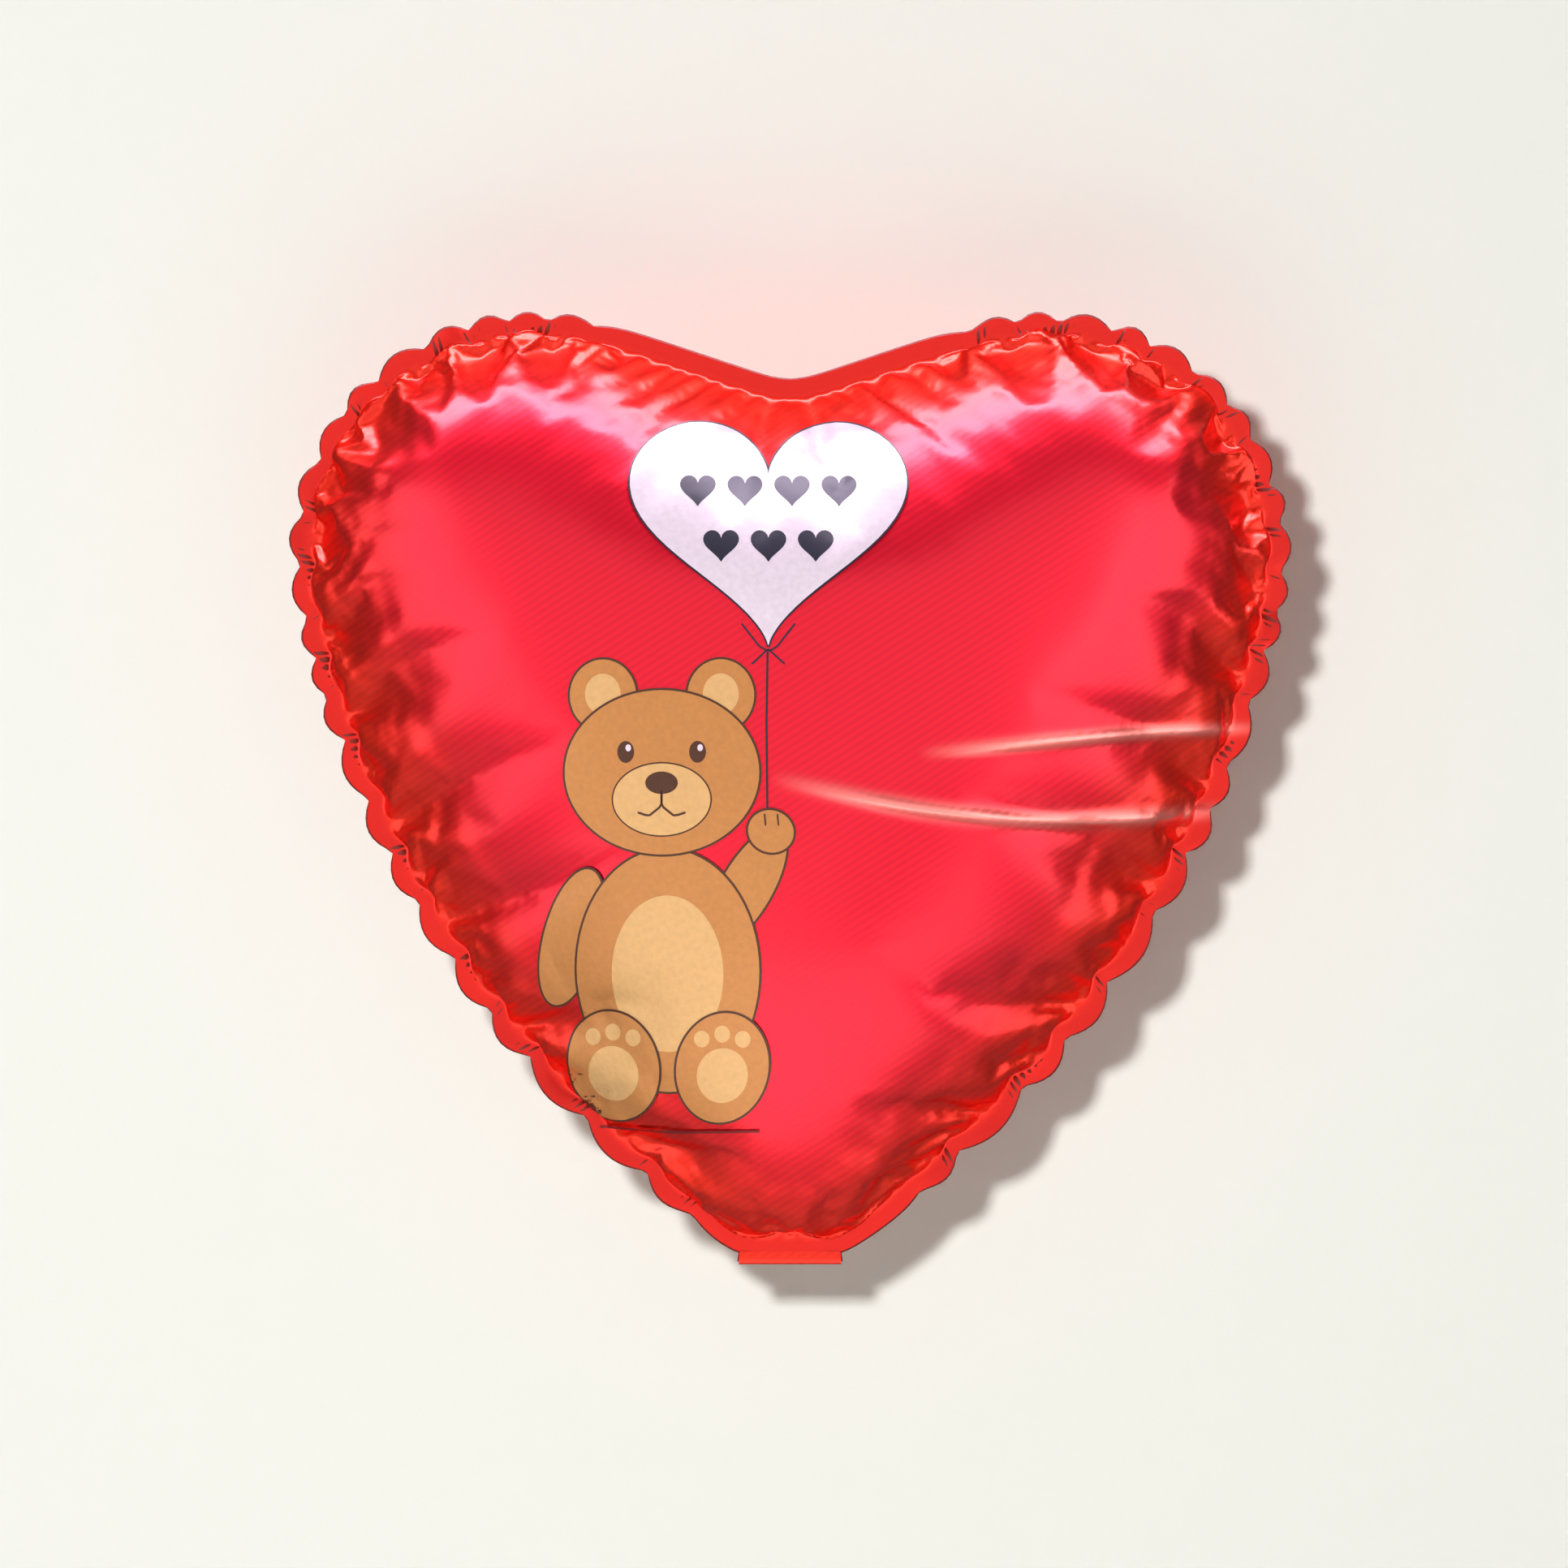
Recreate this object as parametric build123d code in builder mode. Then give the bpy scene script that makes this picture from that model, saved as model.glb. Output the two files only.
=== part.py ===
"""Heart-shaped foil balloon, inflated, standing point down with its tail folded up behind it.

Millimetres. +X is to the right seen from the front, the printed front faces -Y, and +Z is up. The
origin is the bottom centre of the object: X = 0 is the middle, Y = 0 is the plane of the edge seal,
and Z = 0 is the lowest edge of the folded tail.

Two sheets of metallised film are welded together round their edge, and the gas between them swells
each one into a dome. A flat tube of two clear strips, the self-sealing valve, runs between the sheets
at the point. The tail below the point carries the filling hole, and hinges on its crease.
"""

import os
from math import asin, atan2, cos, degrees, hypot, radians, sin, sqrt

from build123d import *

# Overall size, inflated
width = 400.0
height = 380.0
thickness = 158.0

# Film and welds. The real film is about 0.03 mm thick, and is drawn thicker so that it stays a solid.
film = 0.6
weld = 0.8
seal_width = 8.0
half_stack = weld / 2 + film

# Heart outline, over the cut edge
lobe_radius = 97.0
side_radius = 406.0
side_start_angle = 11.4
notch_drop = 29.0
notch_radius = 20.0

# Dome: the height of its middle, how far out each ring of it lies, and how it falls to the seam (0.5
# is an ellipse, and more is slimmer near the seam)
dome_height = 235.0
dome_rings = (1.0, 0.985, 0.95, 0.88, 0.77, 0.6, 0.4, 0.2, 0.06)
dome_power = 0.6

# Self-sealing valve
valve_width = 24.0
valve_length = 75.0
strip = 0.3
strip_gap = weld - 2 * strip
side_seal = 2.5
coating = 0.1
ink_width = 18.0
ink_length = 11.0
gel_width = 12.0
gel_length = 40.0
gel_start = 22.0

# Tail, folded up behind the point
tail_length = 56.0
tail_base_half = 21.0
tail_end_half = 16.0
tail_corner = 6.0
tail_seal_width = 4.0
tail_angle = 46.0
tail_start = 1.0
crease_clearance = 0.35
fill_hole_radius = 4.0
fill_hole_distance = 22.0
front_strip_reach = 17.0
back_strip_reach = 32.0

# Crease: its axis stands just high enough for the folded tail's outer corner to touch Z = 0, and the
# point of the heart just high enough for its back corner to clear the folded tail
fold_cos = cos(radians(tail_angle))
fold_sin = sin(radians(tail_angle))
crease_z = half_stack * fold_sin - tail_start * fold_cos
tip_z = crease_z + (half_stack * (1 + fold_cos) + crease_clearance) / fold_sin

# Heart outline in the plane of the seal, from the middle of the dome
lobe_x = width / 2 - lobe_radius
lobe_z = height - lobe_radius - dome_height
notch_z = height - notch_drop - dome_height
tip_y = tip_z - dome_height


def on_lobe(angle):
    """Point of the right lobe's circle, at an angle in degrees above the horizontal."""
    return (
        lobe_x + lobe_radius * cos(radians(angle)),
        lobe_z + lobe_radius * sin(radians(angle)),
    )


def half_outline_points():
    """Right half of the heart: notch, both ends and the middle of the lobe and of the side, and the tip."""
    to_lobe = hypot(lobe_x, lobe_z - notch_z)
    notch_slope = degrees(atan2(lobe_z - notch_z, lobe_x) + asin(lobe_radius / to_lobe))
    lobe_start = notch_slope + 90
    lobe_end = -side_start_angle
    side_x = lobe_x - (side_radius - lobe_radius) * cos(radians(side_start_angle))
    side_z = lobe_z + (side_radius - lobe_radius) * sin(radians(side_start_angle))
    tip = (side_x + sqrt(side_radius**2 - (side_z - tip_y) ** 2), tip_y)
    side_end = degrees(atan2(tip[1] - side_z, tip[0] - side_x))
    middle_angle = radians((lobe_end + side_end) / 2)
    side_middle = (side_x + side_radius * cos(middle_angle), side_z + side_radius * sin(middle_angle))
    return {
        "notch": (0, notch_z),
        "lobe_start": on_lobe(lobe_start),
        "lobe_middle": on_lobe((lobe_start + lobe_end) / 2),
        "lobe_end": on_lobe(lobe_end),
        "side_middle": side_middle,
        "tip": tip,
    }


def seal_plane(y):
    """Plane parallel to the edge seal, facing the front, at a distance y in front of it."""
    return Plane(origin=(0, -y, dome_height), x_dir=(1, 0, 0), z_dir=(0, -1, 0))


def heart(inset):
    """Sketch of the whole heart, drawn in from the cut edge by inset."""
    half = half_outline_points()
    with BuildSketch() as outline:
        with BuildLine():
            Line(half["notch"], half["lobe_start"])
            ThreePointArc(half["lobe_start"], half["lobe_middle"], half["lobe_end"])
            ThreePointArc(half["lobe_end"], half["side_middle"], half["tip"])
            Line(half["tip"], (0, tip_y))
            mirror(about=Plane.YZ)
        make_face()
        fillet(outline.vertices().filter_by(lambda v: abs(v.X) < 0.01).sort_by(Axis.Y)[-1], notch_radius)
        if inset:
            offset(amount=-inset)
    return outline.sketch


def dome_depth(share):
    """How far the swell stands off the seal, on the ring at this share of the way out to the seam."""
    return (thickness / 2 - weld / 2) * (1 - share**2) ** dome_power


# Front sheet: a flat welded edge and the dome inside it
cut_edge = heart(0)
seam = heart(seal_width)
outer_rings = [scale(seam, by=share) for share in dome_rings]
inner_rings = [scale(heart(seal_width + film), by=share) for share in dome_rings]

with BuildPart() as front_panel:
    with BuildSketch(seal_plane(weld / 2)):
        add(cut_edge)
    extrude(amount=film)
    for share, ring in zip(dome_rings, outer_rings):
        with BuildSketch(seal_plane(weld / 2 + dome_depth(share))):
            add(ring)
    loft()
    for share, ring in zip(dome_rings, inner_rings):
        with BuildSketch(seal_plane(weld / 2 + dome_depth(share) * (1 - film / dome_depth(0)))):
            add(ring)
    loft(mode=Mode.SUBTRACT)
front_panel.part.label = "front_panel"

# Back sheet: the same cut, the other way round
with BuildPart() as back_panel:
    mirror(front_panel.part, about=Plane.XZ)
back_panel.part.label = "back_panel"

# Weld: the melted linings of the two sheets, joined all round and left open for the valve
with BuildPart() as edge_weld:
    with BuildSketch(seal_plane(-weld / 2)):
        add(cut_edge)
        add(seam, mode=Mode.SUBTRACT)
        with Locations((0, tip_y)):
            Rectangle(valve_width, 4 * seal_width, mode=Mode.SUBTRACT)
    extrude(amount=weld)
edge_weld.part.label = "edge_weld"


# Valve: two strips sealed together along their long edges, running up inside from the point
def valve_strip_sketch(length, centre):
    """Strip as wide as the valve, of this length, standing on the centre of its lower end."""
    with BuildSketch() as outline:
        with Locations(centre):
            Rectangle(valve_width, length, align=(Align.CENTER, Align.MIN))
    return outline.sketch


valve_foot = (0, tip_y)
valve_outline = valve_strip_sketch(valve_length, valve_foot)

with BuildPart() as valve_front_strip:
    with BuildSketch(seal_plane(strip_gap / 2)):
        add(valve_outline)
    extrude(amount=strip)
valve_front_strip.part.label = "valve_front_strip"

with BuildPart() as valve_back_strip:
    with BuildSketch(seal_plane(-weld / 2)):
        add(valve_outline)
    extrude(amount=strip)
    with BuildSketch(seal_plane(-strip_gap / 2)):
        for side in (-1, 1):
            with Locations((side * (valve_width - side_seal) / 2, tip_y)):
                Rectangle(side_seal, valve_length, align=(Align.CENTER, Align.MIN))
    extrude(amount=strip_gap)
valve_back_strip.part.label = "valve_back_strip"

# Release patch: heat-proof ink that keeps the edge weld from closing the valve
with BuildPart() as valve_release_patch:
    with BuildSketch(seal_plane(strip_gap / 2 - coating)):
        with Locations(valve_foot):
            Rectangle(ink_width, ink_length, align=(Align.CENTER, Align.MIN))
    extrude(amount=coating)
valve_release_patch.part.label = "valve_release_patch"

# Sealing gel: a tacky film that holds the two strips together once the gas is in
with BuildPart() as valve_sealing_gel:
    with BuildSketch(seal_plane(strip_gap / 2 - coating)):
        with Locations((0, tip_y + gel_start + gel_length / 2)):
            RectangleRounded(gel_width, gel_length, 3)
    extrude(amount=coating)
valve_sealing_gel.part.label = "valve_sealing_gel"


# Tail, drawn flat in its own plane: X across, Y away from the crease, and its front film on +Z, which
# faces backwards and down once the tail is folded up
def tail_plane(height_above):
    """Plane parallel to the folded tail, at this height from its middle towards its front film."""
    return Plane(
        origin=(0, height_above * fold_cos, crease_z - height_above * fold_sin),
        x_dir=(-1, 0, 0),
        z_dir=(0, fold_cos, -fold_sin),
    )


with BuildSketch() as tail_outline:
    Polygon(
        (-tail_base_half, tail_start),
        (tail_base_half, tail_start),
        (tail_end_half, tail_length),
        (-tail_end_half, tail_length),
        align=None,
    )
    fillet(tail_outline.vertices().sort_by(Axis.Y)[-2:], tail_corner)
tail_inside = offset(tail_outline.sketch, amount=-tail_seal_width)

with BuildPart() as tail_front_film:
    with BuildSketch(tail_plane(weld / 2)):
        add(tail_outline.sketch)
        with Locations((0, fill_hole_distance)):
            Circle(fill_hole_radius, mode=Mode.SUBTRACT)
    extrude(amount=film)
tail_front_film.part.label = "tail_front_film"

with BuildPart() as tail_back_film:
    with BuildSketch(tail_plane(-half_stack)):
        add(tail_outline.sketch)
    extrude(amount=film)
tail_back_film.part.label = "tail_back_film"

# Tail weld: along both sides and the end, open at the crease
with BuildPart() as tail_weld:
    with BuildSketch(tail_plane(-weld / 2)):
        add(tail_outline.sketch)
        add(tail_inside, mode=Mode.SUBTRACT)
        with Locations((0, tail_start)):
            Rectangle(2 * (tail_base_half - tail_seal_width), 3 * tail_seal_width, mode=Mode.SUBTRACT)
    extrude(amount=weld)
tail_weld.part.label = "tail_weld"

# Mouth of the valve: the strips' lower ends. The back one reaches past the filling hole, and the front
# one stops short of it, so a nozzle put through the hole slides in between them.
with BuildPart() as valve_mouth_front:
    with BuildSketch(tail_plane(strip_gap / 2)):
        add(valve_strip_sketch(front_strip_reach - tail_start, (0, tail_start)))
    extrude(amount=strip)
valve_mouth_front.part.label = "valve_mouth_front"

with BuildPart() as valve_mouth_back:
    with BuildSketch(tail_plane(-weld / 2)):
        add(valve_strip_sketch(back_strip_reach - tail_start, (0, tail_start)))
    extrude(amount=strip)
    with BuildSketch(tail_plane(-strip_gap / 2)):
        for side in (-1, 1):
            with Locations((side * (valve_width - side_seal) / 2, tail_start)):
                Rectangle(side_seal, front_strip_reach - tail_start, align=(Align.CENTER, Align.MIN))
    extrude(amount=strip_gap)
valve_mouth_back.part.label = "valve_mouth_back"

os.makedirs("parts", exist_ok=True)
for piece in (
    front_panel,
    back_panel,
    edge_weld,
    valve_front_strip,
    valve_back_strip,
    valve_release_patch,
    valve_sealing_gel,
    tail_front_film,
    tail_back_film,
    tail_weld,
    valve_mouth_front,
    valve_mouth_back,
):
    export_step(piece.part, f"parts/{piece.part.label}.step")
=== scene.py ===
import math
import random

import bmesh
import bpy
import numpy as np
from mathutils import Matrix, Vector, geometry
from mathutils.bvhtree import BVHTree


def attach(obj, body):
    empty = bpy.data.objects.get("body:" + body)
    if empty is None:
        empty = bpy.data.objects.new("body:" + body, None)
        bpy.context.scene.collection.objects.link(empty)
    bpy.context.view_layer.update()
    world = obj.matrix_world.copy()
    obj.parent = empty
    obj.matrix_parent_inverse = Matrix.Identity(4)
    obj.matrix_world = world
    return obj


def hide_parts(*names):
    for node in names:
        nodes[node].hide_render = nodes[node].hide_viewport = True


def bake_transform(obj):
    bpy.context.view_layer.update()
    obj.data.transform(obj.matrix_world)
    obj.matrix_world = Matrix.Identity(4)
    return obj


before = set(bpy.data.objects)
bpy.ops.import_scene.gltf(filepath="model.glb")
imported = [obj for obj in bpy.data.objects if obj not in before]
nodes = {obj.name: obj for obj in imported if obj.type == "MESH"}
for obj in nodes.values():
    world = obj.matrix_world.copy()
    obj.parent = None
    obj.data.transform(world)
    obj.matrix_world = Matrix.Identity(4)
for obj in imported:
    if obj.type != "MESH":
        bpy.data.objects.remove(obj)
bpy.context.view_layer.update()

# Metres, in the frame of the CAD model: +X right, -Y front, +Z up. Film patterns are worked out in
# millimetres in the plane of the seam, as (x, z), and turned to metres where a mesh is made.
MM = 0.001
scene = bpy.context.scene

# The heart after filling, over its cut edge, as the CAD model has it
FILLED = dict(width=400.0, height=380.0, lobe=97.0, side=406.0, drop=29.0, low=2.87, lift=0.0)
# The heart as it was cut, before filling. It is wider and longer, because the film goes round the swell,
# and its notch is shallow, because filling draws the notch in.
CUT = dict(width=454.0, height=436.0, lobe=120.0, side=445.9, drop=22.0, low=3.0, lift=-29.0)
SIDE_START = 11.4
WELD_WIDTH = 8.0

# Gathers: the seam is drawn up into scallops, short round the lobes and longer down the sides
PLEAT_RIGHT, PLEAT_LEFT, PLEAT_END = 78.0, 84.0, 24.0
PLEAT_SHORT, PLEAT_LONG = 19.5, 31.0
PLEAT_DEPTH = 3.6
SMOOTH_SPAN = 45.0

# Pitch of the printed screen that shows on the film, in metres
SCREEN_PITCH = 0.0027

# Film mesh: triangle size at the seam and in the middle, in millimetres
STEP_SEAM, STEP_MIDDLE, FINE_BAND = 3.2, 5.6, 18.0

# Filling: frames of cloth simulation, the frame when the seam is drawn in, and the gas pressure
FRAMES, DRAWN_IN, PRESSURE = 14, 8, 210.0


# ---------------------------------------------------------------- small tools


def deselect():
    bpy.ops.object.select_all(action="DESELECT")


def only(obj):
    """Makes obj the only selected object, and the active one."""
    deselect()
    obj.select_set(True)
    bpy.context.view_layer.objects.active = obj
    return obj


def apply_all(obj):
    """Applies every modifier of obj, in order."""
    only(obj)
    for modifier in list(obj.modifiers):
        bpy.ops.object.modifier_apply(modifier=modifier.name)
    return obj


def mark(piece, label, values):
    """Keeps one number at each point of a mesh, for its material to read."""
    attribute = piece.data.attributes.new(label, "FLOAT", "POINT")
    attribute.data.foreach_set("value", values.astype(np.float32))


def smoothed(piece):
    """Halves the faces of a piece once, so that its curves are round, and returns it."""
    smoother = piece.modifiers.new("Subdivision", "SUBSURF")
    smoother.levels = smoother.render_levels = 1
    return apply_all(piece)


def mesh_piece(name, points, faces):
    """New smooth mesh object from points in metres."""
    mesh = bpy.data.meshes.new(name)
    mesh.from_pydata([tuple(p) for p in points], [], [tuple(f) for f in faces])
    mesh.update()
    mesh.polygons.foreach_set("use_smooth", [True] * len(mesh.polygons))
    piece = bpy.data.objects.new(name, mesh)
    scene.collection.objects.link(piece)
    return piece


# ---------------------------------------------------------------- flat patterns, in millimetres


def heart_outline(width, height, lobe, side, drop, low, lift):
    """Closed outline of a heart: notch, right lobe, right side, point, and back up the left. Two hearts
    made with this have the same place at the same index."""
    lobe_x, lobe_z = width / 2 - lobe, height - lobe
    notch_z = height - drop
    slope = math.atan2(lobe_z - notch_z, lobe_x) + math.asin(lobe / math.hypot(lobe_x, lobe_z - notch_z))
    first, last = slope + math.pi / 2, -math.radians(SIDE_START)
    start = (lobe_x + lobe * math.cos(first), lobe_z + lobe * math.sin(first))
    points = [(start[0] * i / 20, notch_z + (start[1] - notch_z) * i / 20) for i in range(20)]
    for i in range(61):
        angle = first + (last - first) * i / 60
        points.append((lobe_x + lobe * math.cos(angle), lobe_z + lobe * math.sin(angle)))
    side_x = lobe_x - (side - lobe) * math.cos(last)
    side_z = lobe_z - (side - lobe) * math.sin(last)
    end = math.atan2(low - side_z, math.sqrt(side**2 - (side_z - low) ** 2))
    for i in range(1, 81):
        angle = last + (end - last) * i / 80
        points.append((side_x + side * math.cos(angle), side_z + side * math.sin(angle)))
    corner = points[-1][0]
    points += [(corner * (1 - i / 8), low) for i in range(1, 9)]
    points += [(-x, z) for x, z in reversed(points[1:-1])]
    return np.array(points) + [0, lift]


def outward(outline):
    """Unit normals of a closed outline that runs clockwise, pointing out of it."""
    along = np.roll(outline, -1, 0) - np.roll(outline, 1, 0)
    normal = np.stack([-along[:, 1], along[:, 0]], 1)
    return normal / np.linalg.norm(normal, axis=1)[:, None]


def grown(outline, amount):
    """The outline moved outwards by an amount, or inwards if it is negative."""
    return outline + outward(outline) * amount


def softened(outline, times):
    for _ in range(times):
        outline = (np.roll(outline, 1, 0) + 2 * outline + np.roll(outline, -1, 0)) / 4
    return outline


def lengths_along(outline):
    closed = np.vstack([outline, outline[:1]])
    return np.concatenate([[0], np.cumsum(np.linalg.norm(np.diff(closed, axis=0), axis=1))])


def point_along(outline, places):
    """Points of a closed outline at these lengths along it."""
    closed, run = np.vstack([outline, outline[:1]]), lengths_along(outline)
    places = np.mod(places, run[-1])
    return np.stack([np.interp(places, run, closed[:, 0]), np.interp(places, run, closed[:, 1])], 1)


def evenly(outline, step, shift=0.0):
    """Points at an even spacing along a closed outline."""
    total = lengths_along(outline)[-1]
    count = max(8, round(total / step))
    return point_along(outline, (np.arange(count) + shift) * total / count)


def is_inside(points, outline):
    x, z = points[:, 0], points[:, 1]
    crossed = np.zeros(len(points), bool)
    for (xa, za), (xb, zb) in zip(outline, np.roll(outline, 1, 0)):
        crossed ^= ((za > z) != (zb > z)) & (x < (xb - xa) * (z - za) / (zb - za + 1e-12) + xa)
    return crossed


def distance_to(points, outline):
    """Distance from each point to a closed outline."""
    start = outline
    along = np.roll(outline, -1, 0) - outline
    square = (along**2).sum(1) + 1e-12
    result = np.empty(len(points))
    for i in range(0, len(points), 500):
        offset = points[i : i + 500, None, :] - start[None]
        share = np.clip((offset * along).sum(2) / square, 0, 1)
        result[i : i + 500] = np.sqrt(((offset - share[..., None] * along) ** 2).sum(2)).min(1)
    return result


def triangle_rows(outline, step):
    """Points of an even triangular grid inside an outline."""
    low, high = outline.min(0), outline.max(0)
    rows = []
    for j, z in enumerate(np.arange(low[1], high[1], step * math.sqrt(3) / 2)):
        x = np.arange(low[0] - (j % 2) * step / 2, high[0], step)
        rows.append(np.stack([x, np.full_like(x, z)], 1))
    points = np.vstack(rows)
    return points[is_inside(points, outline)]


def triangulated(rim, inner):
    """Points and triangles of the area inside rim. The first len(rim) points are the rim."""
    points = np.vstack([rim, inner]) if len(inner) else rim
    ring = [(i, (i + 1) % len(rim)) for i in range(len(rim))]
    made, _, triangles, _, _, _ = geometry.delaunay_2d_cdt([Vector(p) for p in points], ring, [], 1, 1e-5)
    flat = np.array([tuple(p) for p in made])
    faces = []
    for face in triangles:
        a, b, c = (flat[i] for i in face[:3])
        turns_left = (b[0] - a[0]) * (c[1] - a[1]) - (b[1] - a[1]) * (c[0] - a[0]) > 0
        faces.append(list(face) if turns_left else list(face)[::-1])
    return flat, faces


def ellipse(x, z, across, up, turn=0.0, count=64):
    """Outline of an ellipse by its half sizes, turned by an angle in degrees. It runs clockwise."""
    angle = -np.linspace(0, 2 * math.pi, count, endpoint=False)
    u, v = across * np.cos(angle), up * np.sin(angle)
    c, s = math.cos(math.radians(turn)), math.sin(math.radians(turn))
    return np.stack([x + u * c - v * s, z + u * s + v * c], 1)


def small_heart(x, z, across, up):
    """Outline of a plain heart about its middle. It runs clockwise."""
    t = np.linspace(0, 2 * math.pi, 90, endpoint=False)
    u = 16 * np.sin(t) ** 3
    v = 13 * np.cos(t) - 5 * np.cos(2 * t) - 2 * np.cos(3 * t) - np.cos(4 * t)
    return np.stack([x + u * across / 32, z + (v + 2.6) * up / 29], 1)


def stroke(points, width):
    """Outline of a line of this width through points, with round ends."""
    line = np.array(points, float)
    run = np.concatenate([[0], np.cumsum(np.linalg.norm(np.diff(line, axis=0), axis=1))])
    places = np.linspace(0, run[-1], max(4, int(run[-1] / 1.5)))
    line = np.stack([np.interp(places, run, line[:, 0]), np.interp(places, run, line[:, 1])], 1)
    along = np.gradient(line, axis=0)
    along /= np.linalg.norm(along, axis=1)[:, None]
    left = np.stack([-along[:, 1], along[:, 0]], 1) * width / 2
    return np.vstack([line + left, (line - left)[::-1]])


# ---------------------------------------------------------------- the film, before filling

cut_edge = heart_outline(**CUT)
filled_seam = grown(softened(heart_outline(**FILLED), 8), -WELD_WIDTH)
cut_seam = grown(softened(cut_edge, 8), -WELD_WIDTH)
filled_run, cut_run = lengths_along(filled_seam), lengths_along(cut_seam)
half_way = filled_run[-1] / 2

chance = random.Random(7)


def pleat_places(first):
    """Places of the pleats down one side of the seam, from the notch to the point."""
    places, place = [], first
    while place < half_way - PLEAT_END:
        places.append(place)
        down_the_side = max(0.0, (place / half_way - 0.35) / 0.65)
        place += (PLEAT_SHORT + (PLEAT_LONG - PLEAT_SHORT) * down_the_side) * chance.uniform(0.68, 1.36)
    return places


right_pleats = pleat_places(PLEAT_RIGHT)
left_pleats = pleat_places(PLEAT_LEFT)
pleats = np.array(right_pleats + [filled_run[-1] - place for place in reversed(left_pleats)])

RIM = round(cut_run[-1] / STEP_SEAM)
rim = point_along(cut_seam, np.arange(RIM) * cut_run[-1] / RIM)
rim_place = np.interp(np.arange(RIM) * cut_run[-1] / RIM, cut_run, filled_run)

# Which scallop each rim point is in, and how far along it
scallop = np.searchsorted(pleats, rim_place) - 1
scallop_low = np.where(scallop < 0, pleats[-1] - filled_run[-1], pleats[scallop])
next_pleats = np.append(pleats, pleats[0] + filled_run[-1])
scallop_high = np.where(scallop < 0, pleats[0], next_pleats[scallop + 1])
scallop_wide = scallop_high - scallop_low
scallop_share = (rim_place - scallop_low) / scallop_wide
gathered = softened((scallop_wide < SMOOTH_SPAN).astype(float), 24)

seam_line = point_along(filled_seam, rim_place)
seam_out = outward(softened(seam_line, 6))
bulge = 4 * scallop_share * (1 - scallop_share)
pinch = PLEAT_DEPTH * np.clip(scallop_wide / PLEAT_SHORT, 0.7, 1.3) * (1 - bulge) * gathered
seam_lean = 0.8 * np.sin(math.pi * scallop_share) * np.where(scallop % 2 == 0, 1, -1) * gathered
drawn_seam = seam_line - seam_out * pinch[:, None]

# Rings of points near the seam, where the film gathers, and an even grid in the middle
inner_points, depth, step, ring = [], 0.0, STEP_SEAM, 0
while step < STEP_MIDDLE * 0.98:
    depth += step * 0.87
    ring_points = evenly(grown(cut_seam, -depth), step, 0.5 * (ring % 2))
    ring_points = ring_points[is_inside(ring_points, rim)]
    inner_points.append(ring_points[distance_to(ring_points, rim) > depth - 0.3 * step])
    ring += 1
    if depth > FINE_BAND:
        step *= 1.1
middle = triangle_rows(rim, STEP_MIDDLE)
inner_points.append(middle[distance_to(middle, rim) > depth + 0.6 * STEP_MIDDLE])
cut_points, front_faces = triangulated(rim, np.vstack(inner_points))
SHEET = len(cut_points)

# ---------------------------------------------------------------- filling


def fill_with_gas():
    """Sews two flat hearts together at their rims and fills them. Returns the points of both, in
    millimetres: first the rim, then the front's other points, then the back's."""
    flat = np.zeros((2 * SHEET - RIM, 3))
    flat[:SHEET, 0], flat[:SHEET, 2] = cut_points[:, 0], cut_points[:, 1]
    flat[SHEET:] = flat[RIM:SHEET]
    flat[RIM:SHEET, 1], flat[SHEET:, 1] = -1.0, 1.0
    back_faces = [[i if i < RIM else i + SHEET - RIM for i in reversed(face)] for face in front_faces]
    gas_bag = mesh_piece("gas_bag", flat * MM, front_faces + back_faces)
    gas_bag.shape_key_add(name="as cut")
    drawn = gas_bag.shape_key_add(name="seam drawn in")
    target = flat.copy()
    target[:RIM, 0], target[:RIM, 1], target[:RIM, 2] = drawn_seam[:, 0], seam_lean, drawn_seam[:, 1]
    drawn.data.foreach_set("co", (target * MM).ravel())
    for value, when in ((0.0, 1), (1.0, DRAWN_IN)):
        drawn.value = value
        drawn.keyframe_insert("value", frame=when)
    gas_bag.vertex_groups.new(name="seam").add(list(range(RIM)), 1.0, "REPLACE")
    cloth = gas_bag.modifiers.new("Cloth", "CLOTH")
    film = cloth.settings
    film.quality, film.mass = 6, 0.3
    film.tension_stiffness = film.compression_stiffness = film.shear_stiffness = 80
    film.tension_damping = film.compression_damping = film.shear_damping = 5
    film.bending_stiffness, film.bending_damping, film.air_damping = 0.02, 0.5, 2
    film.use_pressure, film.uniform_pressure_force = True, PRESSURE
    film.vertex_group_mass, film.pin_stiffness = "seam", 1.0
    film.effector_weights.gravity = 0
    cloth.collision_settings.use_collision = False
    cloth.point_cache.frame_start, cloth.point_cache.frame_end = 1, FRAMES
    for moment in range(1, FRAMES + 1):
        scene.frame_set(moment)
    blown = gas_bag.evaluated_get(bpy.context.evaluated_depsgraph_get()).data
    points = np.empty(len(blown.vertices) * 3)
    blown.vertices.foreach_get("co", points)
    mesh = gas_bag.data
    bpy.data.objects.remove(gas_bag)
    bpy.data.meshes.remove(mesh)
    scene.frame_set(1)
    return points.reshape(-1, 3) / MM


blown = fill_with_gas()
from_rim = np.concatenate([np.zeros(RIM), distance_to(cut_points[RIM:], rim)])


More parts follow.
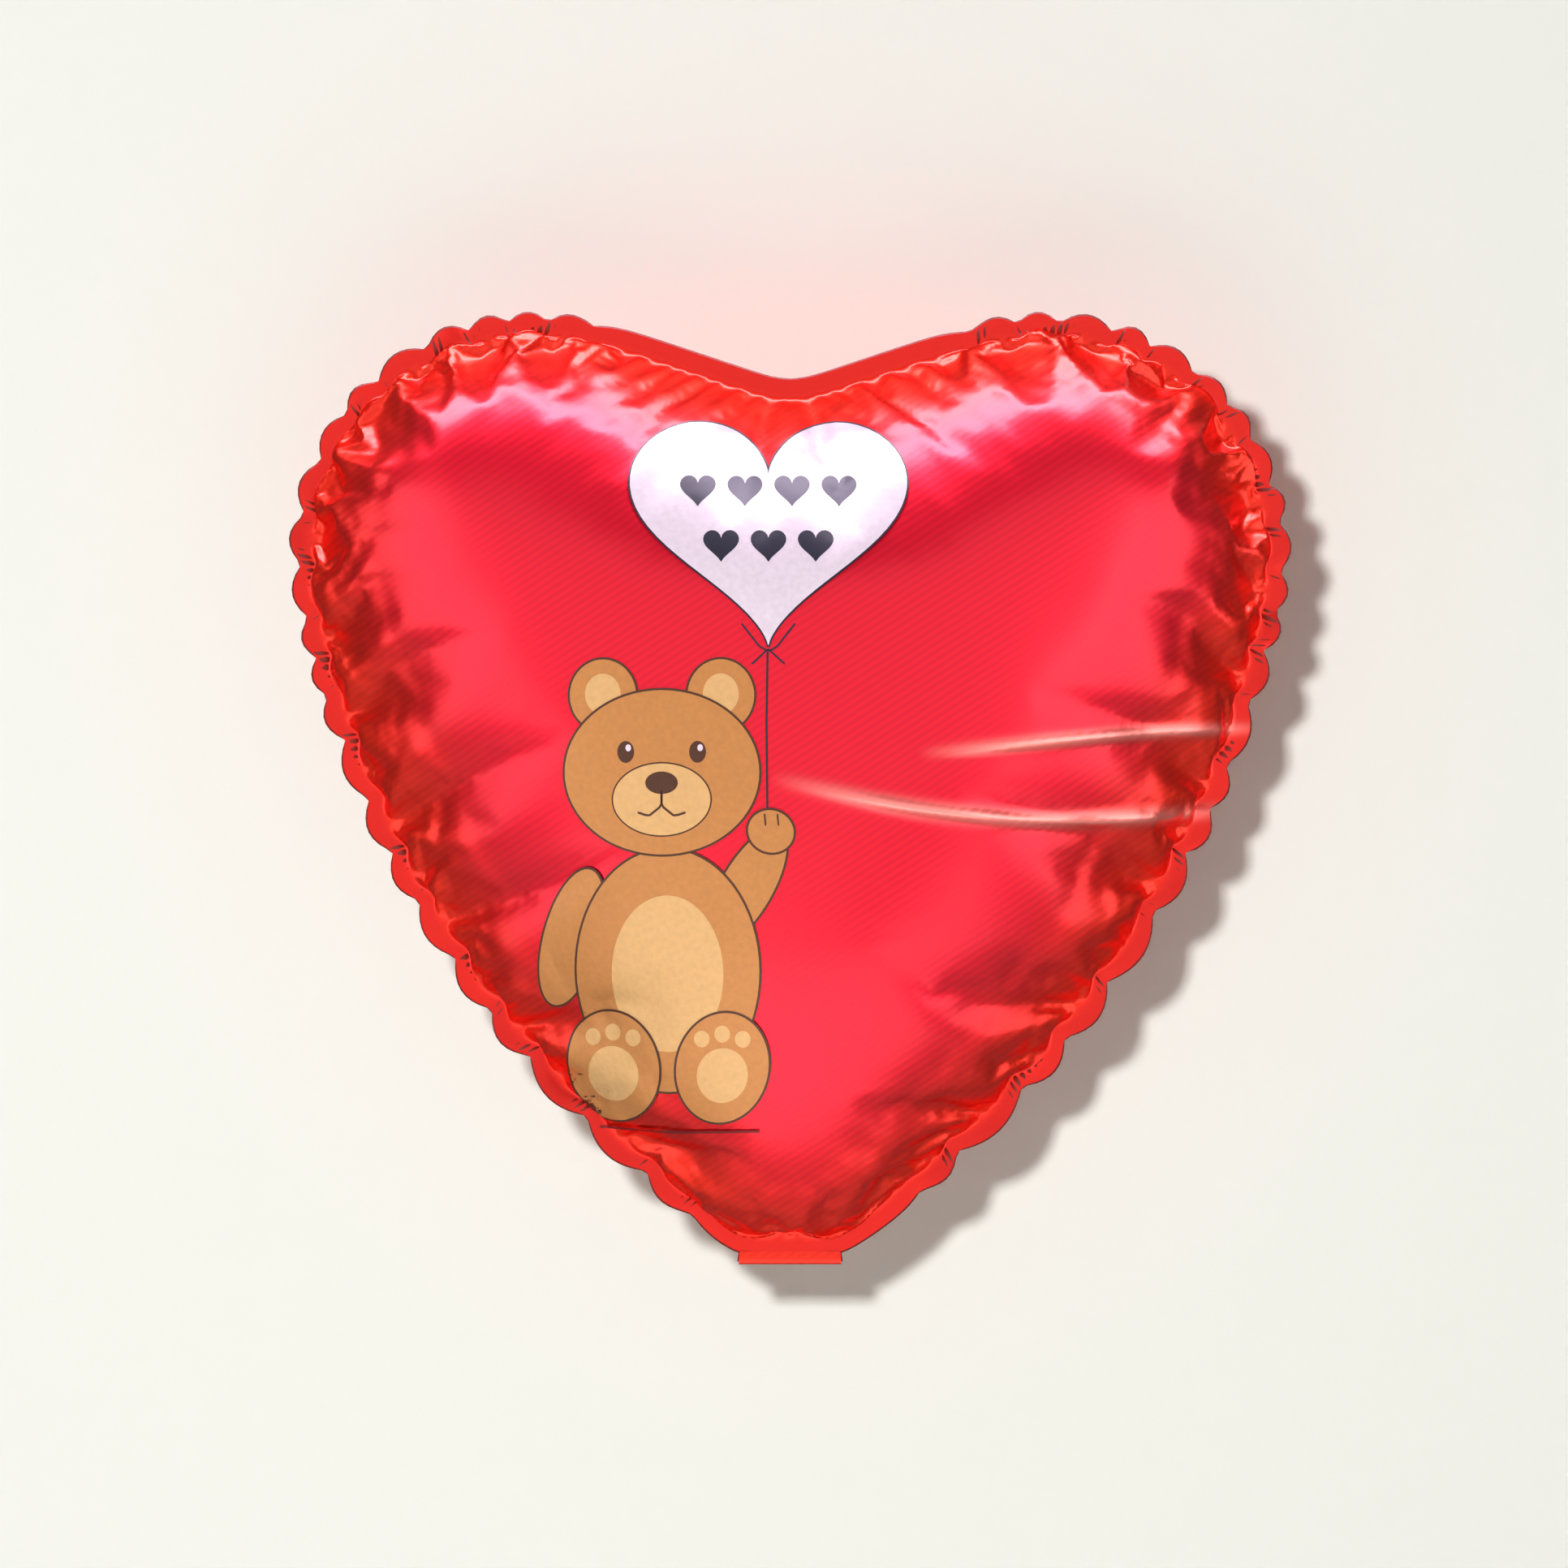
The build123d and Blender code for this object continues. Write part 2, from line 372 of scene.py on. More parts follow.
def eased(points, times=14):
    """Evens out the swell of a sheet away from the seam, where real film is drawn tight."""
    pairs = {tuple(sorted((face[i], face[i - 1]))) for face in front_faces for i in range(3)}
    a, b = np.array(sorted(pairs)).T
    degree = np.bincount(a, minlength=SHEET) + np.bincount(b, minlength=SHEET)
    share = 0.5 * np.clip((from_rim - 12) / 28, 0, 1)
    height = points[:, 1].copy()
    for _ in range(times):
        around = np.bincount(a, height[b], SHEET) + np.bincount(b, height[a], SHEET)
        height += share * (around / degree - height)
    return np.column_stack([points[:, 0], height, points[:, 2]])


# ---------------------------------------------------------------- the film, filled

# The welded edge outside the seam: it leans to the front on one scallop and to the back on the next
EDGE_RINGS = (0.33, 0.67, 1.0)
FILM_APART = 0.12
LEAN_LEAST, LEAN_MOST = 1.2, 3.2


def lean(number):
    """Lean of one scallop in millimetres: to the front and to the back by turns, with some out of turn."""
    way = 1 if number % 2 else -1
    return chance.uniform(LEAN_LEAST, LEAN_MOST) * way * chance.choice((1, 1, 1, -1))


lean_of = [lean(number) for number in range(len(pleats) + 1)]
edge_lean = np.array([lean_of[k] for k in scallop]) * np.sin(math.pi * scallop_share) * gathered
edge_width = WELD_WIDTH * (1 - 0.16 * gathered * (1 - np.sin(math.pi * scallop_share)))


def over_valve(points):
    """How far the film stands off the middle where it passes over the valve strips at the point."""
    across = np.clip((19 - np.abs(points[:, 0])) / 5, 0, 1)
    return 0.85 * across * np.clip((90 - points[:, 2]) / 20, 0, 1)


def film_piece(name, side):
    """One sheet of the balloon: side is -1 for the front and +1 for the back."""
    sheet = eased(blown[:SHEET] if side < 0 else np.vstack([blown[:RIM], blown[SHEET:]]))
    points = [sheet]
    for share in EDGE_RINGS:
        out = seam_out * (edge_width * share)[:, None]
        aside = edge_lean * share + side * FILM_APART
        points.append(blown[:RIM] + np.stack([out[:, 0], aside, out[:, 1]], 1))
    faces = [list(face) for face in front_faces]
    inner = list(range(RIM))
    for number in range(len(EDGE_RINGS)):
        outer = [SHEET + number * RIM + i for i in range(RIM)]
        for i in range(RIM):
            j = (i + 1) % RIM
            faces.append([inner[i], inner[j], outer[j], outer[i]])
        inner = outer
    if side > 0:
        faces = [face[::-1] for face in faces]
    points = np.vstack(points)
    points[:, 1] = side * np.maximum(side * points[:, 1], over_valve(points))
    piece = mesh_piece(name, points * MM, faces)
    # How far in from the seam each point is, and whether it is on the weld
    from_seam = np.concatenate([from_rim, np.zeros(3 * RIM)])
    on_weld = np.concatenate([np.full(RIM, 0.5), np.zeros(SHEET - RIM), np.ones(3 * RIM)])
    mark(piece, "from_seam", from_seam / 100)
    mark(piece, "on_weld", on_weld)
    return smoothed(piece)


def crease(piece, line, height, width):
    """Raises a soft ridge on a film along a line of (x, z) points. It dies out at both ends. Its strength
    is also kept as an attribute, which the film's material uses to paint a pale highlight along the ridge."""
    path = np.array(line, float)
    run = np.concatenate([[0], np.cumsum(np.linalg.norm(np.diff(path, axis=0), axis=1))])
    places = np.linspace(0, run[-1], 60)
    path = np.stack([np.interp(places, run, path[:, 0]), np.interp(places, run, path[:, 1])], 1)
    for _ in range(30):
        path[1:-1] = (path[:-2] + 2 * path[1:-1] + path[2:]) / 4
    path = np.stack([np.interp(np.linspace(0, 59, 400), np.arange(60), axis) for axis in path.T], 1)
    for reach in (9.0, 5.0):
        work = bmesh.new()
        work.from_mesh(piece.data)
        near = set()
        for v in work.verts:
            if np.hypot(path[:, 0] - v.co.x / MM, path[:, 1] - v.co.z / MM).min() < reach:
                near.add(v)
        close = [edge for edge in work.edges if edge.verts[0] in near and edge.verts[1] in near]
        bmesh.ops.subdivide_edges(work, edges=close, cuts=1, use_grid_fill=True)
        work.to_mesh(piece.data)
        work.free()
    count = len(piece.data.vertices)
    co = np.empty(count * 3)
    piece.data.vertices.foreach_get("co", co)
    co = co.reshape(-1, 3)
    normals = np.array([v.normal for v in piece.data.vertices])
    flat = co[:, (0, 2)] / MM
    close = np.flatnonzero((flat[:, 1] > path[:, 1].min() - 12) & (flat[:, 1] < path[:, 1].max() + 12))
    offset = np.linalg.norm(flat[close, None] - path[None], axis=2)
    nearest = offset.argmin(1) / 399
    fade = np.clip(np.minimum(nearest, 1 - nearest) / 0.24, 0, 1)
    ridge = np.zeros(count)
    ridge[close] = fade * np.exp(-((offset.min(1) / width) ** 2))
    piece.data.vertices.foreach_set("co", (co + normals * (ridge * height * MM)[:, None]).ravel())
    folded = piece.data.attributes.get("folded") or piece.data.attributes.new("folded", "FLOAT", "POINT")
    before = np.empty(count, np.float32)
    folded.data.foreach_get("value", before)
    folded.data.foreach_set("value", np.maximum(before, ridge.astype(np.float32)))
    piece.data.update()


front_film = film_piece("front_film", -1)
back_film = film_piece("back_film", 1)
# Two long folds that run in from the right edge, as when a filled balloon has been held there. Each is a
# raised ridge, with a pale painted highlight along its crest.
crease(front_film, [(50, 203), (90, 207), (140, 212), (192, 214)], 1.5, 2.4)
crease(front_film, [(-8, 194), (40, 183), (90, 177), (140, 178), (186, 182)], 2.0, 2.8)

# Lining between the two films at the weld. It stands a little out past their edge, and its dark brown is
# painted shade: a dark line along the outline of the balloon
weld_points, weld_faces = [], []
for y_side in (-0.06, 0.06):
    for reach in (0.0, 1.03):
        out = seam_out * (edge_width * reach + (0.4 if reach else 0.0))[:, None]
        ring = blown[:RIM] + np.stack([out[:, 0], edge_lean * reach + y_side, out[:, 1]], 1)
        weld_points.append(ring)
for a, b in ((0, 1), (1, 3), (3, 2), (2, 0)):
    for i in range(RIM):
        j = (i + 1) % RIM
        weld_faces.append([a * RIM + i, a * RIM + j, b * RIM + j, b * RIM + i])
welded_lining = mesh_piece("welded_lining", np.vstack(weld_points) * MM, weld_faces)

for piece, node, slot in (
    (front_film, "front_panel", "front_film"),
    (back_film, "back_panel", "back_film"),
    (welded_lining, "edge_weld", "weld_lining"),
):
    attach(piece, "balloon")
    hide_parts(node)

# ---------------------------------------------------------------- filling tail

# The tail is folded up behind the point, about a crease at the bottom of the frame
CREASE_Z, TAIL_ANGLE = 0.0247, 46.0
TAIL_START, TAIL_LENGTH, TAIL_BASE, TAIL_END = 1.0, 56.0, 21.0, 16.0
HOLE_AT, HOLE_RADIUS = 22.0, 4.0
tail_along = np.array([0, math.sin(math.radians(TAIL_ANGLE)), math.cos(math.radians(TAIL_ANGLE))])
tail_face = np.array([0, math.cos(math.radians(TAIL_ANGLE)), -math.sin(math.radians(TAIL_ANGLE))])
tail_corner = [
    (TAIL_END - 6 + 6 * math.sin(math.radians(a)), TAIL_LENGTH - 6 + 6 * math.cos(math.radians(a)))
    for a in range(0, 100, 10)
]
tail_half = tail_corner + [(TAIL_BASE, TAIL_START)]
tail_outline = np.array(tail_half + [(-u, v) for u, v in reversed(tail_half)])


def tail_piece(name, side, has_hole):
    """One sheet of the tail, bowed over the valve, with long soft pleats that start at the crease."""
    edge = evenly(tail_outline, 1.6)
    inner = triangle_rows(edge, 1.8)
    inner = inner[distance_to(inner, edge) > 0.8]
    ring = ellipse(0, HOLE_AT, HOLE_RADIUS, HOLE_RADIUS, 0, 40)
    if has_hole:
        inner = np.vstack([ring, inner[np.hypot(inner[:, 0], inner[:, 1] - HOLE_AT) > HOLE_RADIUS + 0.7]])
    flat, faces = triangulated(edge, inner)
    if has_hole:
        middles = [flat[face].mean(0) for face in faces]
        clear = [math.hypot(u, v - HOLE_AT) > HOLE_RADIUS * 0.98 for u, v in middles]
        faces = [face for face, kept in zip(faces, clear) if kept]
    u, v = flat[:, 0], flat[:, 1]
    half = TAIL_BASE + (TAIL_END - TAIL_BASE) * v / TAIL_LENGTH
    inside = np.clip((half - np.abs(u)) / 6, 0, 1) * np.clip((TAIL_LENGTH - v) / 6, 0, 1)
    pleat = 0.22 * np.sin(u * 0.62 + 0.8 * side) * np.exp(-(((v - 12) / 12) ** 2))
    bow = np.sin(math.pi * np.clip(v / TAIL_LENGTH, 0, 1))
    height = side * (0.16 + 0.42 * inside) + inside * (pleat + side * 0.55 * bow)
    points = v[:, None] * tail_along + height[:, None] * tail_face
    points += u[:, None] * np.array([1, 0, 0]) + np.array([0, 0, CREASE_Z])
    # A pattern drawn anticlockwise looks out of the back sheet, so the front sheet is turned over
    piece = mesh_piece(name, points * MM, [face[::-1] for face in faces] if side > 0 else faces)
    mark(piece, "from_seam", 0.06 * inside)
    mark(piece, "on_weld", 1 - inside)
    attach(piece, "tail")
    return smoothed(piece)


tail_front = tail_piece("tail_front_sheet", 1, True)
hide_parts("tail_front_film")
tail_back = tail_piece("tail_back_sheet", -1, False)
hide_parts("tail_back_film")


def crease_piece(name, section):
    """Band of film across the crease, from the balloon to the tail, made in the bent shape it has with the
    tail turned up.
    """
    half = TAIL_BASE - 0.6
    across = np.linspace(-half, half, 22)
    points = [(u * MM, y * MM, z * MM) for y, z in section for u in across]
    faces = []
    for row in range(len(section) - 1):
        for i in range(len(across) - 1):
            a = row * len(across) + i
            faces.append((a, a + len(across), a + len(across) + 1, a + 1))
    piece = smoothed(mesh_piece(name, points, faces))
    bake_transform(piece)
    return piece


crease_outside = crease_piece(
    "crease_outside",
    [(-0.98, 4.6), (-0.98, 3.2), (-0.96, 2.0), (-0.85, 0.6), (-0.42, -0.45)]
    + [(0.22, -0.72), (0.9, -0.3), (1.6, 0.42), (2.7, 1.5)],
)
crease_inside = crease_piece(
    "crease_inside",
    [(0.0, 4.0), (0.0, 2.6), (0.02, 1.7), (0.16, 1.05), (0.6, 0.82), (1.15, 1.13), (2.1, 2.05)],
)

# ---------------------------------------------------------------- print


front_surface = BVHTree.FromObject(front_film, bpy.context.evaluated_depsgraph_get())
ink_layers = {}


def film_at(x, z):
    """Where the front film is at this place, in metres, and which way it faces."""
    return front_surface.ray_cast(Vector((x * MM, -0.3, z * MM)), Vector((0, 1, 0)))[:2]


def ink(colour, outline, level, step=1.5):
    """Lays a patch of ink on the front film. A patch of a higher level lies over the others."""
    edge = evenly(outline, step)
    inner = triangle_rows(edge, step)
    if len(inner):
        inner = inner[distance_to(inner, edge) > 0.5 * step]
    flat, faces = triangulated(edge, inner)
    points, near = [], 1.0
    for x, z in flat:
        hit, normal = film_at(x, z)
        for dx, dz in ((near, 0), (-near, 0), (0, near), (0, -near)):
            beside = film_at(x + dx, z + dz)[0]
            hit.y = min(hit.y, beside.y if beside else hit.y)
        points.append(hit + normal * (0.24 + 0.07 * level) * MM)
    all_points, all_faces = ink_layers.setdefault(colour, ([], []))
    all_faces += [[i + len(all_points) for i in face] for face in faces]
    all_points += points


def outlined(colour, line_colour, outline, level, line=0.9):
    ink(line_colour, grown(outline, line), level)
    ink(colour, outline, level + 1)


# A white toy balloon in the shape of a heart, with rows of small hearts, on a string
outlined("white", "navy", small_heart(-8.5, 289.5, 109.0, 90.0), 0, 0.7)
for count, z in ((4, 306.0), (3, 284.0)):
    for i in range(count):
        ink("navy", small_heart(-8.5 + (i - (count - 1) / 2) * 18.5, z, 14.0, 13.0), 2, 1.3)
ink("navy", stroke([(-19, 254), (-12, 245), (-8.5, 243), (-5, 245), (2, 254)], 0.7), 2, 1.0)
ink("navy", stroke([(-15, 238), (-8.6, 244), (-2, 238)], 0.7), 2, 1.0)
ink("navy", stroke([(-8.8, 243), (-9.2, 215), (-8.8, 172)], 0.8), 2, 1.0)

# A sitting teddy bear that holds the string
FUR, LINE, PALE = "tan", "brown", "cream"
for ear_x in (-73, -27):
    outlined(FUR, LINE, ellipse(ear_x, 226, 13, 14), 0)
    ink(PALE, ellipse(ear_x, 226.5, 7, 8), 2)
outlined(FUR, LINE, ellipse(-86, 131, 11, 28, -16), 1)
outlined(FUR, LINE, ellipse(-17, 151, 10, 26, -30), 1)
outlined(FUR, LINE, ellipse(-48, 118, 36, 48), 3)
ink(PALE, ellipse(-48, 117, 22, 31), 5)
outlined(FUR, LINE, ellipse(-7.5, 173, 9.0, 8.2, -20), 4)
for knuckle in (0, 1):
    ink(LINE, stroke([(-10 + 5 * knuckle, 180), (-9.5 + 5 * knuckle, 175)], 0.7), 6, 1.0)
outlined(FUR, LINE, ellipse(-50, 196, 38, 32), 5)
ink(LINE, ellipse(-50, 185.5, 19.6, 14.6), 7)
ink(PALE, ellipse(-50, 185.5, 19, 14), 8)
ink(LINE, ellipse(-50, 192, 6.4, 4.4), 9, 1.2)
for turn in (-1, 1):
    ink(LINE, stroke([(-50, 189), (-50, 183), (-50 + 5 * turn, 179), (-50 + 9.5 * turn, 180.5)], 0.9), 9, 1.0)
    ink(LINE, ellipse(-50 + 14 * turn, 204, 3.3, 4.3), 7, 1.2)
    ink("white", ellipse(-49 + 14 * turn, 205.6, 1.1, 1.4), 8, 0.8)
    foot_x = -48 + 21.5 * turn
    outlined(FUR, LINE, ellipse(foot_x, 80, 18, 22, -12 * turn), 7)
    ink(PALE, ellipse(foot_x, 77, 10, 11, -12 * turn), 9)
    for toe in (-8, 0, 8):
        ink(PALE, ellipse(foot_x + toe, 93.5 - abs(toe) * 0.25, 3.1, 3.4), 9, 1.3)
ink("shadow", stroke([(-76, 54.5), (-48, 53.3), (-12, 54.5)], 1.0), 0, 1.2)

prints = {}
for colour, (points, faces) in ink_layers.items():
    prints[colour] = mesh_piece("print_" + colour, points, faces)
    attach(prints[colour], "balloon")

# ---------------------------------------------------------------- materials


def srgb(code):
    """Linear colour of an sRGB hex value."""
    parts = [int(code[i : i + 2], 16) / 255 for i in (1, 3, 5)]
    return tuple(c / 12.92 if c <= 0.04045 else ((c + 0.055) / 1.055) ** 2.4 for c in parts) + (1.0,)


def node(tree, kind, settings=(), links=()):
    """Adds a node, sets its properties and sockets, and links its inputs. Returns it."""
    made = tree.nodes.new(kind)
    for key, value in dict(settings).items():
        if isinstance(key, str) and hasattr(made, key):
            setattr(made, key, value)
        else:
            made.inputs[key].default_value = value
    for key, source in dict(links).items():
        tree.links.new(source, made.inputs[key])
    return made


def new_material(name):
    material = bpy.data.materials.new(name)
    material.use_nodes = True
    tree = material.node_tree
    shader = tree.nodes["Principled BSDF"]
    return material, tree, shader


def metallised_film(name, middle, edge, weld, roughness):
    """Metallised polyester film under red lacquer. It gives broad soft highlights, a crimson middle and a
    warmer edge, a faint slanted screen from the gravure roller, a duller, ribbed weld and pale creases. The
    warmer edge is a painted reflection tone, and the pale creases are a painted highlight."""
    material, tree, shader = new_material(name)
    place = node(tree, "ShaderNodeTexCoord").outputs["Object"]
    seam = node(tree, "ShaderNodeAttribute", {"attribute_name": "from_seam"}).outputs["Fac"]
    welded = node(tree, "ShaderNodeAttribute", {"attribute_name": "on_weld"}).outputs["Fac"]
    cloud = node(tree, "ShaderNodeTexNoise", {"Scale": 9.0, "Detail": 2.0}, {"Vector": place})
    drift = node(
        tree, "ShaderNodeMath", {"operation": "MULTIPLY_ADD", 1: 0.5, 2: -0.25}, {0: cloud.outputs["Fac"]}
    )
    reach = node(tree, "ShaderNodeMath", {"operation": "ADD"}, {0: seam, 1: drift.outputs[0]})
    # Painted reflection: towards the seam the colour turns from the crimson middle to the orange-red edge
    # colour
    edge_reflection_share = node(
        tree, "ShaderNodeMapRange",
        {"From Min": 0.05, "From Max": 0.75, "interpolation_type": "SMOOTHSTEP"},
        {"Value": reach.outputs[0]},
    )
    body = node(
        tree, "ShaderNodeMix",
        {"data_type": "RGBA", 6: srgb(edge), 7: srgb(middle)},
        {0: edge_reflection_share.outputs["Result"]},
    )
    # Gravure screen: slanted rows 2.7 mm apart, coarser than the real 0.3 mm so that it shows
    turned = node(tree, "ShaderNodeMapping", {"Rotation": (0, math.radians(33), 0)}, {"Vector": place})
    rows = node(
        tree, "ShaderNodeTexWave",
        {"wave_type": "BANDS", "bands_direction": "Z", "Scale": math.pi / 10 / SCREEN_PITCH,
         "Distortion": 0.6, "Detail": 1.0},
        {"Vector": turned.outputs[0]},
    )
    screen = node(
        tree, "ShaderNodeMapRange", {"To Min": 0.93, "To Max": 1.05}, {"Value": rows.outputs["Fac"]}
    )
    toned = node(
        tree, "ShaderNodeVectorMath",
        {"operation": "SCALE"},
        {0: body.outputs[2], "Scale": screen.outputs["Result"]},
    )
    dull = node(tree, "ShaderNodeMix", {"data_type": "RGBA", 7: srgb(weld)}, {0: welded, 6: toned.outputs[0]})
    folded = node(tree, "ShaderNodeAttribute", {"attribute_name": "folded"}).outputs["Fac"]
    # Painted highlight: along the crease ridges the colour goes to pale salmon, standing in for the light the
    # ridges catch
    painted_crease_highlight = node(
        tree, "ShaderNodeMix", {"data_type": "RGBA", 7: srgb("#FF9088")}, {0: folded, 6: dull.outputs[2]}
    )
    tree.links.new(painted_crease_highlight.outputs[2], shader.inputs["Base Color"])
    shader.inputs["Metallic"].default_value = 0.75
    shader.inputs["Specular Tint"].default_value = srgb("#F07060")
    shader.inputs["Coat Weight"].default_value = 0.42
    shader.inputs["Coat Roughness"].default_value = 0.24
    haze = node(
        tree, "ShaderNodeMapRange",
        {"To Min": roughness - 0.05, "To Max": roughness + 0.07},
        {"Value": cloud.outputs["Fac"]},
    )
    rougher = node(
        tree, "ShaderNodeMath", {"operation": "MULTIPLY_ADD", 1: 0.08}, {0: welded, 2: haze.outputs["Result"]}
    )
    tree.links.new(rougher.outputs[0], shader.inputs["Roughness"])
    crinkle = node(tree, "ShaderNodeTexNoise", {"Scale": 90.0, "Detail": 2.0}, {"Vector": place})
    relief = node(
        tree, "ShaderNodeMath",
        {"operation": "MULTIPLY_ADD", 1: 0.35},
        {0: rows.outputs["Fac"], 2: crinkle.outputs["Fac"]},
    )
    bump = node(tree, "ShaderNodeBump", {"Strength": 0.12, "Distance": 0.0006}, {"Height": relief.outputs[0]})
    tree.links.new(bump.outputs[0], shader.inputs["Normal"])
    return material


def gravure_ink(name, code, metallic, roughness):
    """Printing ink over the metallised film: nearly opaque, with a satin face and faint screen grain."""
    material, tree, shader = new_material(name)
    place = node(tree, "ShaderNodeTexCoord").outputs["Object"]
    grain = node(tree, "ShaderNodeTexNoise", {"Scale": 420.0, "Detail": 1.0}, {"Vector": place})
    tone = node(tree, "ShaderNodeMapRange", {"To Min": 0.86, "To Max": 1.08}, {"Value": grain.outputs["Fac"]})
    colour = node(
        tree, "ShaderNodeVectorMath",
        {"operation": "SCALE", 0: srgb(code)[:3]},
        {"Scale": tone.outputs["Result"]},
    )
    tree.links.new(colour.outputs[0], shader.inputs["Base Color"])
    shader.inputs["Metallic"].default_value = metallic
    shader.inputs["Roughness"].default_value = roughness
    return material


def clear_polyethylene(name, code, opacity):
    """Blown polyethylene film: milky, soft-edged highlights and fine streaks along the roll."""
    material, tree, shader = new_material(name)
    place = node(tree, "ShaderNodeTexCoord").outputs["Object"]
    stretched = node(tree, "ShaderNodeMapping", {"Scale": (400, 400, 20)}, {"Vector": place})
    streak = node(tree, "ShaderNodeTexNoise", {"Scale": 1.0, "Detail": 3.0}, {"Vector": stretched.outputs[0]})
    haze = node(tree, "ShaderNodeMapRange", {"To Min": 0.3, "To Max": 0.5}, {"Value": streak.outputs["Fac"]})
    tree.links.new(haze.outputs["Result"], shader.inputs["Roughness"])
    shader.inputs["Base Color"].default_value = srgb(code)
    shader.inputs["Alpha"].default_value = opacity
    shader.inputs["IOR"].default_value = 1.51
    return material


# The second colour, the orange-red edge, is a painted reflection tone
red_film = metallised_film("metallised film, red lacquer", "#E0102E", "#E2240C", "#D81A10", 0.34)
# The back is the same film painted a shade darker: painted shade for the back sheet, the tail's back sheet
# and the inner band of the tail crease
back_red_painted_darker = metallised_film("metallised film, red lacquer, back, painted darker", "#D01022", "#D01C10", "#C81810", 0.32)
# The lining's dark brown is painted shade for the dark outline; the tail weld gets it too
lining = gravure_ink("weld lining, dark as painted shade", "#7A1A12", 0.3, 0.5)
inks = {
    "white": gravure_ink("white gravure ink", "#E6D4E4", 0.15, 0.45),
    "navy": gravure_ink("navy gravure ink", "#14142E", 0.2, 0.4),
    "tan": gravure_ink("tan gravure ink", "#C48044", 0.25, 0.42),
    "cream": gravure_ink("cream gravure ink", "#DCAA70", 0.2, 0.42),
    "brown": gravure_ink("brown gravure ink", "#4A2410", 0.2, 0.42),
    "shadow": gravure_ink("dark red gravure ink", "#7A1018", 0.4, 0.42),
}
milky = clear_polyethylene("blown polyethylene", "#E8E8E4", 0.6)
release_ink = gravure_ink("heat-proof release ink", "#C8C8CC", 0.0, 0.6)
tacky = clear_polyethylene("tacky sealing gel", "#E6E0C8", 0.7)


def wear(obj, material):
    obj.data.materials.clear()
    obj.data.materials.append(material)


wear(front_film, red_film)
wear(back_film, back_red_painted_darker)
wear(tail_front, red_film)
wear(crease_outside, red_film)
wear(crease_inside, back_red_painted_darker)
wear(tail_back, back_red_painted_darker)
wear(welded_lining, lining)
for colour, piece in prints.items():
    wear(piece, inks[colour])
for names, material in (
    (("tail_weld",), lining),
    (("valve_front_strip", "valve_back_strip", "valve_mouth_front", "valve_mouth_back"), milky),
    (("valve_release_patch",), release_ink),
    (("valve_sealing_gel",), tacky),
):
    for name in names:
        wear(nodes[name], material)

# ---------------------------------------------------------------- studio


AIM = (0, 0, 0.19)


def soft_box(name, place, size, power, unseen_by, colour=(1, 1, 1)):
    """A rectangular lamp. It is left out of one kind of reflection, so that the paper and the gloss of the
    film are lit apart."""
    light = bpy.data.lights.new(name, "AREA")
    light.shape, light.size, light.size_y = "RECTANGLE", size[0], size[1]
    light.energy, light.color = power, colour
    lamp = bpy.data.objects.new(name, light)
    lamp.location = place
    lamp.rotation_euler = (Vector(AIM) - Vector(place)).to_track_quat("-Z", "Y").to_euler()
    setattr(lamp, unseen_by, False)
    scene.collection.objects.link(lamp)


def backdrop_paint():
    """Plain matt paper. Seen from behind it is clear, so the back of the balloon can be looked at."""
    material, tree, shader = new_material("matt backdrop paper")
    shader.inputs["Base Color"].default_value = srgb("#F6F7F1")
    shader.inputs["Roughness"].default_value = 0.9
    shader.inputs["Specular IOR Level"].default_value = 0.1
    behind = node(tree, "ShaderNodeNewGeometry").outputs["Backfacing"]
    clear = node(tree, "ShaderNodeBsdfTransparent")
    mixed = node(tree, "ShaderNodeMixShader", {}, {0: behind, 1: shader.outputs[0], 2: clear.outputs[0]})
    tree.links.new(mixed.outputs[0], tree.nodes["Material Output"].inputs["Surface"])
    return material


